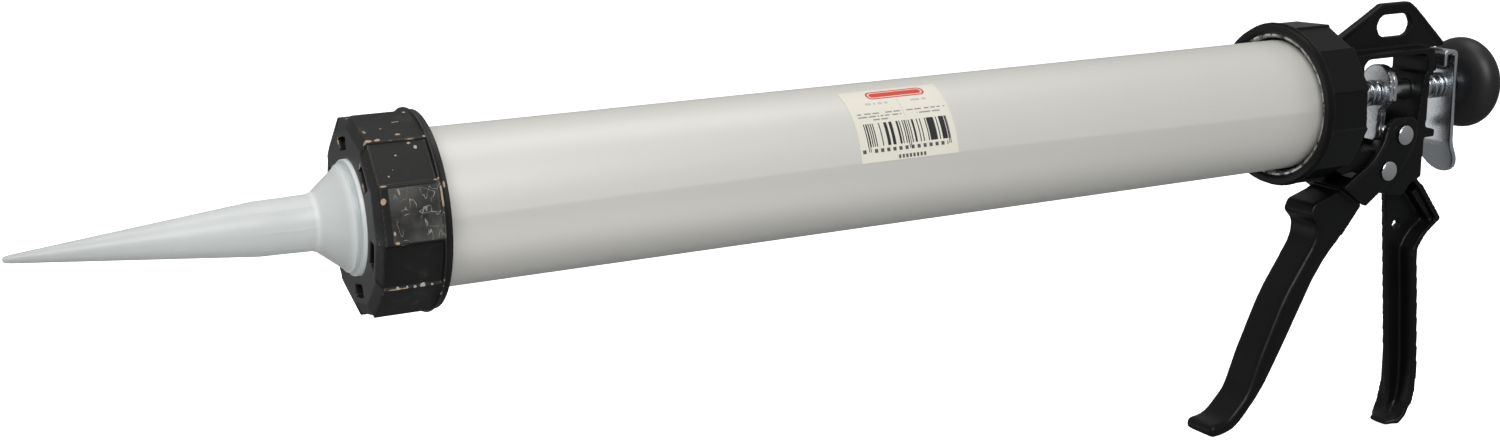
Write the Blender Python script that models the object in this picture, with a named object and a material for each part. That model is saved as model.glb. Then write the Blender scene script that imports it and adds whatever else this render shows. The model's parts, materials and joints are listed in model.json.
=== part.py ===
"""Caulking gun for foil bags: barrel with two screwed cups, cast handle, friction drive.

Sizes are millimetres and become metres as each mesh is made. The barrel lies along X with its
axis at Y = Z = 0 while the pieces are drawn, the nozzle at -X and the pull knob at +X. X = 0 is
the rim of the front cap. The tool_origin empty then puts the middle of the whole gun at the
world origin.
"""

from math import acos, atan2, ceil, cos, hypot, pi, radians, sin, tan

import bmesh
import bpy
from mathutils import Matrix, Vector

MM = 0.001
GAP = 0.3  # between pieces that touch or run in each other

# Barrel
TUBE_R = 27.0
TUBE_WALL = 1.5
TUBE_SEEN = 369.3  # between the rims of the two cups

# Screwed cups: the front cap and the rear collar
CUP_LENGTH = 24.0
CUP_WALL = 7.3  # from the thread bore to the corners of the pads
CUP_STEP = 1.0  # height of the raised pads
CUP_RIM = 2.0
CUP_RIM_OUT = 0.2  # how far the round rim stands outside the pad corners
CUP_CHAMFER = 1.8  # along the axis
CUP_CHAMFER_IN = 4.6  # towards the axis
CUP_HEAD = 5.0  # thickness of the wall with the hole
CUP_HOLE_R = 19.65
CUP_PADS = 6
PAD_HALF = radians(16.5)
POCKET_DEPTH = 3.0
CAP_TURN = radians(10.75)
COLLAR_TURN = radians(31.5)

# Nozzle
NOZZLE_FLANGE = 2.5
NOZZLE_STEP = 3.0  # how far the stepped base stands out of the cap
NOZZLE_NECK_R = 9.4
NOZZLE_NECK = 18.6  # length of the near-cylindrical neck
NOZZLE_TAPER = 75.6
NOZZLE_TIP_R = 1.0
NOZZLE_WALL = 1.3

# Rod and piston
ROD_R = 4.0
ROD_SHOULDER = 1.1  # how much thinner the end is that carries the piston
PISTON_CLEAR = 0.5  # to the bore of the tube
PISTON_DISC = 6.0
SEAL_THICK = 2.5
WASHER_THICK = 1.5
REAR_WASHER_R = 20.0
FRONT_WASHER_R = 12.0
NUT_FLATS = 10.0
NUT_THICK = 5.0

# Inner disc that holds the collar on the handle
RETAINER_CLEAR = 1.0  # to the bore of the tube
RETAINER_THICK = 2.5
SCREW_R = 2.0
SCREW_HEAD_R = 3.5
SCREW_HEAD = 2.2
SCREW_CIRCLE_R = 12.0
SCREW_COUNT = 3

# Handle casting
FLANGE_LIP = 1.85  # how far the flange covers the collar's wall
FLANGE_THICK = 3.0
FRAME_HALF = 10.5  # half the width of the box round the window
FRONT_WALL = 14.4
WINDOW_LENGTH = 37.2
WINDOW_TOP = 16.5
TOP_BAR = 2.3
REAR_WALL = 3.6
WEB_HALF = 1.5
WEB_INSET = 1.0  # how deep the grip's plate runs into its rear flange
HANGER_HEIGHT = 19.7  # above the top bar
EYE_LENGTH = 20.0
EYE_HEIGHT = 9.6
GRIP_HALF = 9.0
GRIP_SKIN = 3.2
GRIP_EDGE = 2.6  # width of the lower edge on each side of the palm
GRIP_CROWN = 1.5  # how far the palm stands behind the two edges
GRIP_LENGTH = 122.0  # from the trigger pivot down to the toe
HOOK_LIP_TOP = 14.2

# Trigger and its two rivets
PIVOT_BEHIND_FLANGE = 31.3
PIVOT_BELOW_CUP = 2.1  # how far the pivot lies above the cup's underside
PIN_AHEAD = 8.6  # pusher rivet from the pivot, towards the knob
PIN_ABOVE = 14.8
RIVET_R = 2.5
RIVET_HEAD_R = 4.3
RIVET_HEAD = 1.5
EAR_THICK = 2.5
TRIGGER_HALF = 8.7
TRIGGER_SKIN = 2.6

# Drive and release plates
DRIVE_THICK = 2.0
DRIVE_HALF = 9.0
DRIVE_TOP = 12.0
TONGUE_HALF = 4.0
DRIVE_TILT = radians(5.0)
RELEASE_THICK = 2.0
RELEASE_HALF = 10.0
RELEASE_BEHIND_FRAME = 12.6
RELEASE_DROP = 39.4  # rod axis to the end of the thumb tab
PLATE_CLEAR = 0.6  # radial room for the rod in a tilting plate

# Springs
SPRING_CLEAR = 0.6  # from the rod to the wire
SPRING_WIRE_R = 0.6
DRIVE_TURNS = 5
RELEASE_TURNS = 4

# Knob
KNOB_R = 20.0
KNOB_THICK = 17.0
KNOB_FROM_PLATE = 6.5

# Label
LABEL_START = 154.5
LABEL_LENGTH = 41.0
LABEL_LOW = radians(5.5)
LABEL_HIGH = radians(71.0)
LABEL_THICK = 0.15

ROUND_STEPS = 48
SMALL_STEPS = 20

# Places that follow from the sizes above
BORE_R = TUBE_R - TUBE_WALL
PISTON_R = BORE_R - PISTON_CLEAR
RETAINER_R = BORE_R - RETAINER_CLEAR
ROD_END_R = ROD_R - ROD_SHOULDER
SPRING_R = ROD_R + SPRING_CLEAR + SPRING_WIRE_R
FLANGE_R = CUP_HOLE_R + FLANGE_LIP
CUP_R = TUBE_R + CUP_WALL
THREAD_R = TUBE_R + GAP
TUBE_END = CUP_LENGTH - CUP_HEAD - GAP - NOZZLE_FLANGE - GAP
COLLAR_X = TUBE_SEEN
COLLAR_BACK = COLLAR_X + CUP_LENGTH
TUBE_REAR = COLLAR_X + TUBE_END
FLANGE_X = COLLAR_BACK + GAP
BOX_X = FLANGE_X + FLANGE_THICK
WINDOW_X = BOX_X + FRONT_WALL
REAR_X = WINDOW_X + WINDOW_LENGTH
FRAME_BACK = REAR_X + REAR_WALL
BAR_TOP = WINDOW_TOP + TOP_BAR
HANGER_TOP = BAR_TOP + HANGER_HEIGHT
PIVOT = (FLANGE_X + PIVOT_BEHIND_FLANGE, -(CUP_R - PIVOT_BELOW_CUP))
PIN = (PIVOT[0] + PIN_AHEAD, PIVOT[1] + PIN_ABOVE)
EAR_IN = FRAME_HALF + GAP
EAR_OUT = EAR_IN + EAR_THICK
RELEASE_X = FRAME_BACK + RELEASE_BEHIND_FRAME
HINGE = (RELEASE_X - 3.2, HOOK_LIP_TOP + GAP)
KNOB_X = RELEASE_X + RELEASE_THICK + KNOB_FROM_PLATE
KNOB_BACK = KNOB_X + KNOB_THICK
NUT_X = -TUBE_END - NOZZLE_FLANGE - GAP
PISTON_X = NUT_X + NUT_THICK + WASHER_THICK + 2 * GAP
NECK_X = -(CUP_LENGTH + NOZZLE_STEP + (CUP_HOLE_R - NOZZLE_NECK_R - 0.4))
TIP_X = NECK_X - NOZZLE_NECK - NOZZLE_TAPER
TOE_Z = PIVOT[1] - GRIP_LENGTH

CENTRE = ((TIP_X + KNOB_BACK) / 2, 0.0, (HANGER_TOP + TOE_Z) / 2)


# ---- helpers -------------------------------------------------------------------------------

def clear_scene():
    for obj in list(bpy.data.objects):
        bpy.data.objects.remove(obj, do_unlink=True)


def finish_mesh(bm):
    bmesh.ops.remove_doubles(bm, verts=bm.verts, dist=1e-4)
    bmesh.ops.recalc_face_normals(bm, faces=bm.faces)
    return bm


def turned(profile, steps=ROUND_STEPS):
    """Solid of revolution about X from (x, radius) points; an open profile ends on the axis."""
    bm = bmesh.new()
    verts = [bm.verts.new((x, 0.0, r)) for x, r in profile]
    closed = min(r for _, r in profile) > 0
    pairs = list(zip(verts, verts[1:]))
    if closed:
        pairs.append((verts[-1], verts[0]))
    edges = [bm.edges.new(pair) for pair in pairs]
    bmesh.ops.spin(bm, geom=verts + edges, cent=(0, 0, 0), axis=(1, 0, 0), angle=2 * pi,
                   steps=steps, use_merge=True)
    return finish_mesh(bm)


def slab(outline, low, high, along):
    """Prism of a closed outline: (x, z) points along Y, or (y, z) points along X."""
    bm = bmesh.new()
    if along == "Y":
        verts = [bm.verts.new((a, low, b)) for a, b in outline]
        step = (0, high - low, 0)
    else:
        verts = [bm.verts.new((low, a, b)) for a, b in outline]
        step = (high - low, 0, 0)
    face = bm.faces.new(verts)
    grown = bmesh.ops.extrude_face_region(bm, geom=[face])["geom"]
    moved = [item for item in grown if isinstance(item, bmesh.types.BMVert)]
    bmesh.ops.translate(bm, verts=moved, vec=step)
    return finish_mesh(bm)


def bar_x(start, end, radius, y=0.0, z=0.0, steps=SMALL_STEPS):
    bm = turned([(start, 0.0), (start, radius), (end, radius), (end, 0.0)], steps)
    bmesh.ops.translate(bm, verts=bm.verts, vec=(0, y, z))
    return bm


def bar_y(low, high, radius, x, z, steps=SMALL_STEPS):
    bm = bar_x(low, high, radius, steps=steps)
    bmesh.ops.rotate(bm, verts=bm.verts, matrix=Matrix.Rotation(pi / 2, 3, "Z"))
    bmesh.ops.translate(bm, verts=bm.verts, vec=(x, 0, z))
    return bm


def rounded(corners, turn=radians(24)):
    """Outline whose corners (a, b, radius) are arcs, each limited to its two sides."""
    points = []
    for i, (a, b, radius) in enumerate(corners):
        here = Vector((a, b))
        back = Vector(corners[i - 1][:2]) - here
        ahead = Vector(corners[(i + 1) % len(corners)][:2]) - here
        cosine = max(-1.0, min(1.0, back.normalized().dot(ahead.normalized())))
        half = acos(cosine) / 2
        reach = min(radius / tan(half), 0.48 * min(back.length, ahead.length))
        if reach < 0.05:
            points.append((a, b))
            continue
        arc_r = reach * tan(half)
        middle = here + (back.normalized() + ahead.normalized()).normalized() * hypot(reach, arc_r)
        first = here + back.normalized() * reach - middle
        last = here + ahead.normalized() * reach - middle
        start = atan2(first.y, first.x)
        sweep = (atan2(last.y, last.x) - start + pi) % (2 * pi) - pi
        count = max(1, ceil(abs(sweep) / turn))
        for k in range(count + 1):
            angle = start + sweep * k / count
            points.append((middle.x + arc_r * cos(angle), middle.y + arc_r * sin(angle)))
    return points


def arc(centre, radius, start, end, count):
    return [(centre[0] + radius * cos(start + (end - start) * k / count),
             centre[1] + radius * sin(start + (end - start) * k / count)) for k in range(count + 1)]


def material(name, colour, roughness, metallic=0.0):
    found = bpy.data.materials.get(name)
    if found:
        return found
    made = bpy.data.materials.new(name)
    made.use_nodes = True
    shader = made.node_tree.nodes["Principled BSDF"]
    shader.inputs["Base Color"].default_value = (*colour, 1.0)
    shader.inputs["Roughness"].default_value = roughness
    shader.inputs["Metallic"].default_value = metallic
    made.diffuse_color = (*colour, 1.0)
    return made


def cast_black():
    return material("cast_black", (0.02, 0.02, 0.022), 0.38)


def zinc():
    return material("zinc_plate", (0.72, 0.74, 0.76), 0.25, 1.0)


def at_axis(x, z, y=0.0):
    return Vector((x, y, z))


def place(name, bm, finish, parent, axis=None):
    """Object in metres, with its own origin at axis, under its parent empty."""
    axis = axis or Vector((0, 0, 0))
    bmesh.ops.translate(bm, verts=bm.verts, vec=-axis)
    bmesh.ops.scale(bm, verts=bm.verts, vec=(MM, MM, MM))
    mesh = bpy.data.meshes.new(name)
    bm.to_mesh(mesh)
    bm.free()
    mesh.shade_smooth()
    mesh.set_sharp_from_angle(angle=radians(35))
    obj = bpy.data.objects.new(name, mesh)
    bpy.context.scene.collection.objects.link(obj)
    obj.data.materials.append(finish)
    obj.parent = parent
    parent_at = parent.location if parent.parent else Vector()
    obj.location = axis * MM - parent_at
    return obj


def shaped(name, base, steps, finish, parent, axis=None):
    """A piece and the hidden bodies that are joined to it or cut from it, in order."""
    obj = place(name, base, finish, parent, axis)
    for number, (operation, bm) in enumerate(steps):
        tool = place(f"{name}_{operation.lower()}_{number}", bm, finish, parent, axis)
        tool.hide_render = True
        tool.display_type = "WIRE"
        modifier = obj.modifiers.new(tool.name, "BOOLEAN")
        modifier.operation = operation
        modifier.solver = "EXACT"
        modifier.object = tool
    return obj


def joint_empty(name, parent, x, z):
    empty = bpy.data.objects.new(name, None)
    bpy.context.scene.collection.objects.link(empty)
    empty.parent = parent
    empty.location = Vector((x, 0, z)) * MM
    return empty


# ---- cups, barrel, nozzle ------------------------------------------------------------------

def cup_outline(turn):
    """Six raised pads with lower flats between them, as (y, z) points."""
    points = []
    low_r = CUP_R - CUP_STEP
    for k in range(CUP_PADS):
        middle = turn + 2 * pi * k / CUP_PADS
        for angle, radius in ((-PAD_HALF, low_r), (-PAD_HALF, CUP_R),
                              (PAD_HALF, CUP_R), (PAD_HALF, low_r)):
            around = middle + angle
            points.append((-radius * cos(around), radius * sin(around)))
    return points


def cup_body(turn, side):
    """The wrench-flat part, with the chamfer at its head; side is -1 for the front cap."""
    head_x = side * (CUP_LENGTH - CUP_CHAMFER)
    bm = slab(cup_outline(turn), side * CUP_RIM, side * CUP_LENGTH, "X")
    everything = list(bm.verts) + list(bm.edges) + list(bm.faces)
    bmesh.ops.bisect_plane(bm, geom=everything, plane_co=(head_x, 0, 0), plane_no=(1, 0, 0))
    shrink = 1 - CUP_CHAMFER_IN / CUP_R
    for vert in bm.verts:
        if side * vert.co.x > CUP_LENGTH - 0.01:
            vert.co = Vector((vert.co.x, vert.co.y * shrink, vert.co.z * shrink))
    return finish_mesh(bm)


def cup_pocket(middle, side):
    """One recess of the head, between two pads."""
    inner, outer, half = CUP_HOLE_R + 3.0, CUP_R - CUP_CHAMFER_IN - 3.0, radians(11)
    face_x = side * CUP_LENGTH
    points = []
    for radius, angles in ((outer, (-half, 0, half)), (inner, (half, -half))):
        points += [(-radius * cos(middle + a), radius * sin(middle + a)) for a in angles]
    return slab(points, face_x - side * POCKET_DEPTH, face_x + side, "X")


def make_cup(name, turn, side, start, parent, axis=None):
    rim_r = CUP_R + CUP_RIM_OUT
    rim = turned([(0, THREAD_R - 1), (0, rim_r - 0.6), (side * 0.6, rim_r),
                  (side * (CUP_RIM + 1), rim_r), (side * (CUP_RIM + 1), THREAD_R - 1)])
    inside, outside = side * (CUP_LENGTH - CUP_HEAD), side * (CUP_LENGTH + 2)
    bore = turned([(-side, 0.0), (-side, THREAD_R), (inside, THREAD_R), (inside, CUP_HOLE_R),
                   (outside, CUP_HOLE_R), (outside, 0.0)])
    middles = [turn + 2 * pi * (k + 0.5) / CUP_PADS for k in range(CUP_PADS)]
    steps = [("DIFFERENCE", cup_pocket(middle, side)) for middle in middles]
    steps += [("UNION", rim), ("DIFFERENCE", bore)]
    base = cup_body(turn, side)
    for bm in [base] + [bm for _, bm in steps]:
        bmesh.ops.translate(bm, verts=bm.verts, vec=(start, 0, 0))
    return shaped(name, base, steps, cast_black(), parent, axis)


def make_barrel(parent):
    start, end = -TUBE_END, TUBE_REAR
    wall = turned([(start, BORE_R), (start, TUBE_R), (end, TUBE_R), (end, BORE_R)])
    place("barrel_tube", wall, material("anodised_tube", (0.72, 0.72, 0.70), 0.42, 0.85), parent)


def make_nozzle(parent):
    """Flanged cone with a bore that stops short of the uncut tip."""
    flange_x = -TUBE_END - GAP
    head_x = flange_x - NOZZLE_FLANGE
    step_x = -(CUP_LENGTH + NOZZLE_STEP)
    base_r = CUP_HOLE_R - GAP
    neck_end = NECK_X - NOZZLE_NECK
    outer = [(flange_x, TUBE_R - GAP), (head_x, TUBE_R - GAP), (head_x, base_r),
             (step_x + 2.2, base_r), (step_x + 1.9, base_r - 0.8), (step_x + 0.6, base_r - 0.8),
             (step_x + 0.3, base_r - 1.7), (step_x, base_r - 1.8), (NECK_X, NOZZLE_NECK_R),
             (neck_end, NOZZLE_NECK_R - 0.4), (TIP_X, NOZZLE_TIP_R), (TIP_X, 0.0)]
    wall = NOZZLE_WALL
    inner = [(TIP_X + 9.0, 0.0), (neck_end, NOZZLE_NECK_R - 0.4 - wall),
             (NECK_X + 0.6, NOZZLE_NECK_R - wall), (step_x + 0.5, base_r - 1.8 - wall),
             (head_x, base_r - 2 - wall), (flange_x, base_r - 2 - wall)]
    finish = material("nozzle_plastic", (0.78, 0.80, 0.80), 0.35)
    place("nozzle", turned(inner + outer, 32), finish, parent)


def make_label(parent):
    """Paper sticker that follows the facets of the tube."""
    inner_r, outer_r = TUBE_R + 0.08, TUBE_R + 0.08 + LABEL_THICK
    step = 2 * pi / ROUND_STEPS
    first, last = ceil(LABEL_LOW / step), int(LABEL_HIGH / step)
    inner_angles = [LABEL_LOW] + [step * k for k in range(first, last + 1)] + [LABEL_HIGH]
    points = []
    for radius, angles in ((outer_r, inner_angles), (inner_r, inner_angles[::-1])):
        points += [(-radius * cos(a), radius * sin(a)) for a in angles]
    sheet = slab(points, LABEL_START, LABEL_START + LABEL_LENGTH, "X")
    place("label", sheet, material("label_paper", (0.86, 0.84, 0.74), 0.6), parent)


# ---- handle casting ------------------------------------------------------------------------

def grip_back(crown):
    """The rear line of the grip, from inside the box down to the toe, as (x, z, radius)."""
    x, z = PIVOT
    palm = x + crown
    return [(x + 21.4, z - 1.0, 0), (x + 22.2, z - 6.6, 3), (x + 26.4, z - 10.4, 3),
            (x + 38.4, z - 26.5, 1.6), (palm + 30.3, z - 32.0, 6),
            (palm + 24.8, z - 38.5, 8), (palm + 26.6, z - 58.0, 60), (palm + 29.3, TOE_Z + 27.0, 60),
            (palm + 28.6, TOE_Z + 14.0, 14), (x + 22.4, TOE_Z + 1.4, 9)]


def flange_outline(back, toe_x, toe_z):
    """A rear line with its thickness added in front, ending in a toe turned forward to toe_x."""
    toe = [(toe_x, toe_z, 2.5), (toe_x - 0.4, toe_z + GRIP_SKIN, 1.5)]
    bend = [(PIVOT[0] + 21.4, TOE_Z + 4.8, 5)]
    front = [(a - GRIP_SKIN, b, r) for a, b, r in reversed(back[1:-1])]
    return rounded(back + toe + bend + front + [(back[0][0] - GRIP_SKIN, back[0][1], 0)])


def palm_outline():
    """The middle of the grip's rear flange, which stands behind the two edges."""
    x, z = PIVOT
    back = [(x + 25.2, z - 13.0, 0), (x + 37.0, z - 27.2, 1)] + grip_back(GRIP_CROWN)[4:]
    return flange_outline(back, x + 15.2, TOE_Z)


def web_outline():
    """Side view of the plate in the middle of the grip."""
    x, z = PIVOT
    back = [(a - WEB_INSET, b, r) for a, b, r in grip_back(0.0)[2:-1]]
    return rounded(back + [(x + 22.4, TOE_Z + 3.0, 0), (x + 20.8, TOE_Z + 2.6, 0),
                           (x + 20.4, TOE_Z + 13.5, 10), (x + 15.6, z - 58.0, 0),
                           (x + 11.6, z - 12.0, 0), (x + 11.6, z + 4.0, 0), (x + 20.0, z + 4.0, 0)])


def hanger_outline():
    """Plate at the middle of the top bar, with a straight back slope over the release hook."""
    top, bar = HANGER_TOP, BAR_TOP - 1.0
    left, right = WINDOW_X + 17.5, WINDOW_X + 33.6
    return rounded([(BOX_X + 0.3, bar, 0), (BOX_X + 0.3, bar + 2.8, 2), (left, top, 2.5),
                    (right, top, 4), (right + 4.4, top - 3.2, 4), (FRAME_BACK + 15.2, BAR_TOP - 0.3, 1),
                    (FRAME_BACK + 12.8, WINDOW_TOP + 1.0, 1), (FRAME_BACK - 1, WINDOW_TOP + 0.4, 0)])


def eye_outline():
    half = (EYE_LENGTH - EYE_HEIGHT) / 2
    x, z = WINDOW_X + 25.2, HANGER_TOP - 9.8
    right = arc((x + half, z), EYE_HEIGHT / 2, -pi / 2, pi / 2, 8)
    left = arc((x - half, z), EYE_HEIGHT / 2, pi / 2, 3 * pi / 2, 8)
    return right + left


def hook_lip_outline():
    """Shelf behind the rear wall with a turned-up lip that the release plate hangs on."""
    tip = RELEASE_X - 1.6
    return [(FRAME_BACK - 1, 6.6), (tip, 6.6), (tip, HOOK_LIP_TOP), (tip - 1.6, HOOK_LIP_TOP),
            (tip - 1.6, 8.9), (FRAME_BACK - 1, 8.9)]


def box_outline():
    """Side view of the box with its rear wall, the stop lug and the solid between the ears."""
    x, z = PIVOT
    foot = window_floor() - 4.5
    return rounded([(BOX_X - 1, BAR_TOP, 0), (FRAME_BACK, BAR_TOP, 1.5), (FRAME_BACK, 7.0, 0.5),
                    (FRAME_BACK - 2.0, 6.6, 0), (x + 23.9, PIN[1] + 1.6, 1),
                    (FRAME_BACK + 2.3, PIN[1] + 0.2, 0.8), (FRAME_BACK + 2.3, PIN[1] - 3.1, 0.8),
                    (x + 23.4, PIN[1] - 3.1, 0), (x + 22.6, z - 5.6, 0), (x + 16.6, z - 8.0, 0),
                    (x + 11.8, z - 13.0, 2), (x + 2.0, z - 11.4, 9), (x - 10.4, z - 2.0, 9),
                    (x - 17.4, z + 0.9, 1.5), (x - 23.6, z + 0.4, 1), (BOX_X + 0.6, foot - 2.6, 1),
                    (BOX_X - 1, foot + 3.0, 0)])


def window_floor():
    return PIN[1] - RIVET_R - 2.6


def window_outline():
    x, z = PIVOT
    floor = window_floor()
    return rounded([(WINDOW_X, WINDOW_TOP, 4), (WINDOW_X, floor, 1), (x + 15.8, floor, 1),
                    (x + 17.4, z + 11.4, 4), (REAR_X - 1.8, 7.4, 0.5), (REAR_X, 8.2, 0.5),
                    (REAR_X, WINDOW_TOP, 4)])


def make_frame(parent):
    box = slab(box_outline(), -FRAME_HALF, FRAME_HALF, "Y")
    flange = bar_x(FLANGE_X, BOX_X, FLANGE_R, steps=ROUND_STEPS)
    boss = bar_x(COLLAR_BACK - CUP_HEAD, FLANGE_X + 1, CUP_HOLE_R - GAP, steps=ROUND_STEPS)
    palm_half = GRIP_HALF - GRIP_EDGE
    edges = flange_outline(grip_back(0.0), PIVOT[0] + 19.6, TOE_Z + 0.4)
    steps = [
        ("DIFFERENCE", slab(window_outline(), -FRAME_HALF - 1, FRAME_HALF + 1, "Y")),
        ("UNION", flange),
        ("UNION", boss),
        ("UNION", slab(web_outline(), -WEB_HALF, WEB_HALF, "Y")),
        ("UNION", slab(edges, -GRIP_HALF, GRIP_HALF, "Y")),
        ("UNION", slab(palm_outline(), -palm_half, palm_half, "Y")),
        ("UNION", slab(hanger_outline(), -WEB_HALF, WEB_HALF, "Y")),
        ("UNION", slab(hook_lip_outline(), -6.0, 6.0, "Y")),
        ("DIFFERENCE", slab(eye_outline(), -WEB_HALF - 1, WEB_HALF + 1, "Y")),
        ("DIFFERENCE", bar_x(COLLAR_BACK - CUP_HEAD - 2, FRAME_BACK + 4, ROD_R + GAP)),
        ("DIFFERENCE", bar_y(-FRAME_HALF - 1, FRAME_HALF + 1, RIVET_R + GAP, *PIVOT)),
        ("DIFFERENCE", bar_y(-WEB_HALF - 1, WEB_HALF + 1, 2.1, PIVOT[0] + 19.0, PIVOT[1] - 28.4)),
    ]
    for y, z in screw_places():
        hole = bar_x(COLLAR_BACK - CUP_HEAD - 2, BOX_X - 0.8, SCREW_R + GAP, y, z, 12)
        steps.append(("DIFFERENCE", hole))
    shaped("handle_frame", box, steps, cast_black(), parent)


# ---- trigger -------------------------------------------------------------------------------

def trigger_outline():
    x, z = PIVOT
    front = [(x - 22.6, z - 7.2, 1), (x - 36.4, z - 11.4, 3), (x - 38.6, z - 16.2, 2.5),
             (x - 33.6, z - 21.0, 6), (x - 35.2, z - 28.6, 8), (x - 51.0, z - 50.7, 50),
             (x - 63.1, z - 75.7, 40), (x - 69.4, z - 91.6, 16), (x - 80.0, z - 101.6, 9),
             (x - 88.4, z - 102.0, 2.4)]
    back = [(x - 89.4, z - 108.0, 2.4), (x - 76.0, z - 106.4, 14), (x - 61.8, z - 91.8, 40),
            (x - 50.6, z - 73.0, 50), (x - 32.2, z - 40.4, 50), (x - 21.4, z - 28.6, 20),
            (x - 9.4, z - 14.6, 1)]
    return rounded(front + back)


def channel_outline():
    """The hollow of the trigger's channel section, open to the rear."""
    x, z = PIVOT
    return rounded([(x - 19.0, z - 12.6, 3), (x - 32.2, z - 15.4, 2), (x - 29.6, z - 21.0, 6),
                    (x - 31.4, z - 29.8, 8), (x - 47.8, z - 52.3, 50), (x - 59.9, z - 77.1, 40),
                    (x - 66.2, z - 93.4, 12), (x - 72.0, z - 99.8, 3), (x - 64.0, z - 104.0, 0),
                    (x - 40.0, z - 75.0, 0), (x - 16.0, z - 38.0, 0), (x - 2.0, z - 20.0, 0)])


def ear_outline():
    x, z = PIVOT
    return rounded([(x - 25.0, z - 4.8, 0.6), (x - 18.4, z - 0.9, 10), (x - 10.4, z + 4.0, 15),
                    (x - 4.2, z + 10.8, 8), (PIN[0] - 8.4, PIN[1] + 7.8, 7.5),
                    (PIN[0] + 8.2, PIN[1] + 7.8, 7.5), (PIN[0] + 7.6, PIN[1] - 3.0, 10),
                    (x + 9.8, z + 1.2, 5), (x - 1.4, z - 7.5, 12), (x - 11.7, z - 14.4, 1.0)])


def shoulder_outline():
    """Where the narrow body widens to carry the two ears."""
    x, z = PIVOT
    return [(x - 23.8, z - 5.2), (x - 14.6, z - 2.4), (x - 8.2, z - 7.6), (x - 8.6, z - 11.2),
            (x - 11.9, z - 13.5)]


def make_trigger(parent):
    x, z = PIVOT
    ear = ear_outline()
    base = slab(trigger_outline(), -TRIGGER_HALF, TRIGGER_HALF, "Y")
    inner = TRIGGER_HALF - TRIGGER_SKIN
    steps = [
        ("UNION", slab(shoulder_outline(), -EAR_OUT, EAR_OUT, "Y")),
        ("UNION", slab(ear, EAR_IN, EAR_OUT, "Y")),
        ("UNION", slab(ear, -EAR_OUT, -EAR_IN, "Y")),
        ("DIFFERENCE", slab(channel_outline(), -inner, inner, "Y")),
        ("DIFFERENCE", bar_y(-EAR_OUT - 1, EAR_OUT + 1, RIVET_R + GAP, x, z)),
        ("DIFFERENCE", bar_y(-EAR_OUT - 1, EAR_OUT + 1, RIVET_R + GAP, *PIN)),
    ]
    shaped("trigger_lever", base, steps, cast_black(), parent, at_axis(x, z))


def make_rivet(name, place_xz, parent):
    """Shank with a domed head at each end, along Y."""
    inner, crown = EAR_OUT + GAP, EAR_OUT + GAP + RIVET_HEAD
    side = [(inner, RIVET_HEAD_R), (inner + 0.7, RIVET_HEAD_R - 0.3), (crown - 0.2, 2.2), (crown, 0.0)]
    profile = [(-y, r) for y, r in reversed(side)] + [(-inner, RIVET_R), (inner, RIVET_R)] + side
    bm = turned(profile, SMALL_STEPS)
    bmesh.ops.rotate(bm, verts=bm.verts, matrix=Matrix.Rotation(pi / 2, 3, "Z"))
    x, z = place_xz
    bmesh.ops.translate(bm, verts=bm.verts, vec=(x, 0, z))
    place(name, bm, material("rivet_steel", (0.8, 0.8, 0.82), 0.15, 1.0), parent, at_axis(x, z))


# ---- plates and springs --------------------------------------------------------------------

def drive_outline():
    """Round head with a narrower tongue that the pusher rivet presses on."""
    centre = DRIVE_TOP - DRIVE_HALF
    foot = PIN[1] - 3.6
    head = arc((0, centre), DRIVE_HALF, 0, pi, 12)
    return head + [(-DRIVE_HALF, -3.0), (-TONGUE_HALF, -8.0), (-TONGUE_HALF, foot + 1.2),
                   (-TONGUE_HALF + 1.2, foot), (TONGUE_HALF - 1.2, foot),
                   (TONGUE_HALF, foot + 1.2), (TONGUE_HALF, -8.0), (DRIVE_HALF, -3.0)]


def drive_plate_x():
    """Rod-axis position of the rear face of the stack, so that its tongue meets the rivet."""
    return PIN[0] - RIVET_R - GAP / cos(DRIVE_TILT) - PIN[1] * tan(DRIVE_TILT) - 0.1


def make_drive_plates(parent):
    rear = drive_plate_x()
    for name, back in (("drive_plate_rear", rear), ("drive_plate_front", rear - DRIVE_THICK - GAP)):
        plate = slab(drive_outline(), back - DRIVE_THICK, back, "X")
        tilt = Matrix.Rotation(DRIVE_TILT, 3, "Y")
        bmesh.ops.rotate(plate, verts=plate.verts, cent=(rear, 0, 0), matrix=tilt)
        hole = bar_x(rear - 9, rear + 4, ROD_R + PLATE_CLEAR)
        steps = [("DIFFERENCE", hole)]
        shaped(name, plate, steps, zinc(), parent, at_axis(rear, 0))


def release_strip():
    """Side view of the release plate: hook, straight plate, thumb tab bent to the rear."""
    x, thick = RELEASE_X, RELEASE_THICK
    low = RELEASE_DROP
    top = HOOK_LIP_TOP + 2.6
    return rounded([(x - 6.2, 9.6, 0), (x - 6.2, top, 2.4), (x + thick, top, 2.6),
                    (x + thick, -low + 14.5, 8), (x + thick + 6.4, -low, 0.6),
                    (x + 6.0, -low, 0.6), (x, -low + 13.6, 6), (x, top - thick, 0.8),
                    (x - 4.4, top - thick, 0.8), (x - 4.4, 9.6, 0)])


def make_release_plate(parent):
    half, low = RELEASE_HALF, RELEASE_DROP
    tab = arc((0, -low + half), half, -pi, 0, 12)
    top = HOOK_LIP_TOP + 6
    shape = slab(tab + [(half, top), (-half, top)], RELEASE_X - 9, RELEASE_X + 12, "X")
    hole = bar_x(RELEASE_X - 3, RELEASE_X + 5, ROD_R + PLATE_CLEAR)
    steps = [("INTERSECT", shape), ("DIFFERENCE", hole)]
    base = slab(release_strip(), -half - 2, half + 2, "Y")
    shaped("release_plate", base, steps, zinc(), parent, at_axis(*HINGE))


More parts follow.
